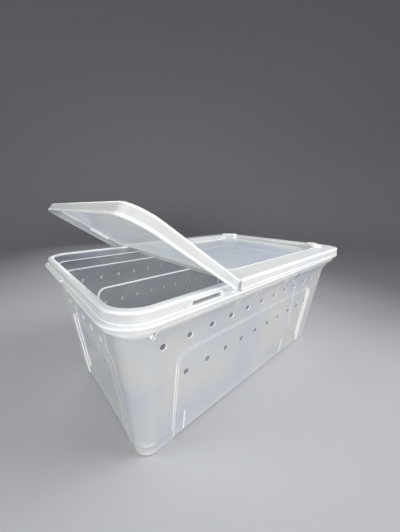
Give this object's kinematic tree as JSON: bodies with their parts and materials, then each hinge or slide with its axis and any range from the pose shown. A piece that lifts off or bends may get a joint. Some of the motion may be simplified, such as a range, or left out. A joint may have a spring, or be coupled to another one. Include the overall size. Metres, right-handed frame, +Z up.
{
  "type": "ventilated rearing box with flip lid",
  "caption": "Long translucent plastic box with drafted walls, rows of round vent holes, and a lid whose front third flips up on a film hinge.",
  "frame": {"origin": "centre of the footprint, on the surface that the four corner feet stand on", "axes": "+X along the box away from the flap, +Y across it, +Z up"},
  "size_m": [0.3188, 0.21, 0.1928],
  "materials": {
    "tub": "milky translucent moulded polypropylene, softly glossy",
    "lid_fixed_panel": "clear milky moulded polypropylene, glossy",
    "lid_flap": "clear milky moulded polypropylene, glossy",
    "film_hinge": "thin bent polypropylene film, whitened along the bend"
  },
  "bodies": {
    "tub": {"tub": "tub"},
    "lid": {"lid_fixed_panel": "lid_fixed_panel", "film_hinge": "film_hinge"},
    "flap": {"lid_flap": "lid_flap"}
  },
  "joints": [
    {"name": "lid_lift", "type": "slide", "parent": "tub", "child": "lid", "axis": [0, 0, 1], "range_m": [0, 0.05]},
    {"name": "flap_hinge", "type": "hinge", "parent": "lid", "child": "flap", "pos_m": [-0.0634, 0, 0.1384], "axis": [0, 1, 0], "range_deg": [-34.7, 130.3]}
  ]
}
